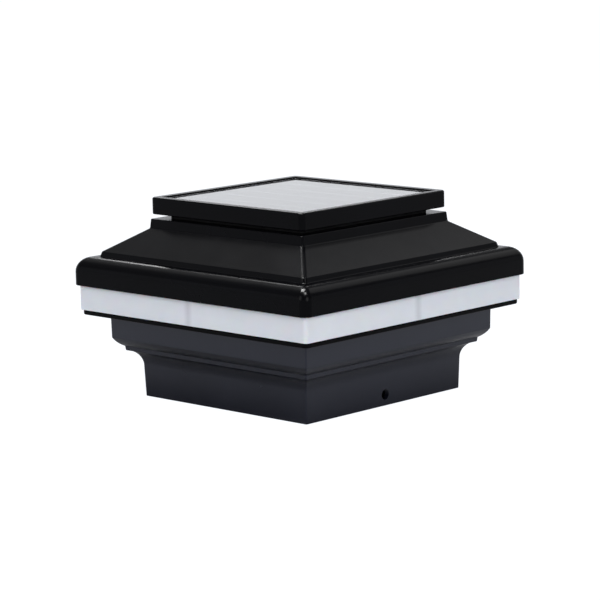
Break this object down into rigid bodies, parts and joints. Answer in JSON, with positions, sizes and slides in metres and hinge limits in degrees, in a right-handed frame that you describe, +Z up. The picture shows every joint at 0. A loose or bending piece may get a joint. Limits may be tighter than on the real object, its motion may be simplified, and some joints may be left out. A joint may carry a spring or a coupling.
{
  "type": "fence post cap",
  "caption": "Square solar post cap light: framed panel on a pyramid hood, glowing band, base plate and moulded skirt that slips over a post.",
  "frame": {"origin": "centre of the skirt's bottom edge, where the object stands", "axes": "+Z up through the post, +X and -X through the side screw holes, +Y towards the battery compartment"},
  "size_m": [0.1544, 0.1544, 0.0965],
  "materials": {
    "skirt": "satin slate black",
    "plate": "satin black",
    "hood": "gloss black",
    "diffuser": "frosted white, translucent",
    "reflector": "white",
    "leds": "yellow phosphor",
    "panel_cover": "clear",
    "cells": "dark blue silicon",
    "board": "green solder mask",
    "components": "black",
    "knob": "white",
    "battery_sleeve": "plain green sleeve",
    "contacts": "nickel plated",
    "screws": "zinc plated",
    "foam": "closed-cell foam",
    "sealant": "black silicone",
    "rubber": "black",
    "leads": "insulation"
  },
  "bodies": {
    "root": {"post_skirt": "skirt", "skirt_gasket": "foam", "base_plate": "plate", "battery_cell": "battery_sleeve", "battery_contact": "contacts", "battery_spring": "contacts", "control_board": "board", "board_screws": "screws", "board_parts": "components", "switch_body": "components", "diffuser": "diffuser", "diffuser_gasket": "foam", "reflector": "reflector", "led_strip": "reflector", "led_chips": "leds", "hood": "hood", "assembly_screws": "screws", "panel_frame": "hood", "frame_gasket": "foam", "frame_screws": "screws", "panel_pad": "foam", "panel_backsheet": "board", "solar_cells": "cells", "cell_ribbons": "contacts", "panel_cover": "panel_cover", "panel_seal": "sealant", "lead_grommet": "rubber", "panel_leads": "leads", "battery_leads": "leads", "led_leads": "leads"},
    "door": {"battery_door": "plate", "door_gasket": "foam", "door_screws": "screws"},
    "knob": {"switch_knob": "knob"}
  },
  "joints": [
    {"name": "door_removal", "type": "slide", "parent": "root", "child": "door", "axis": [0, 0, -1], "range_m": [0, 0.034]},
    {"name": "switch_slide", "type": "slide", "parent": "root", "child": "knob", "axis": [1, 0, 0], "range_m": [0, 0.003]}
  ]
}
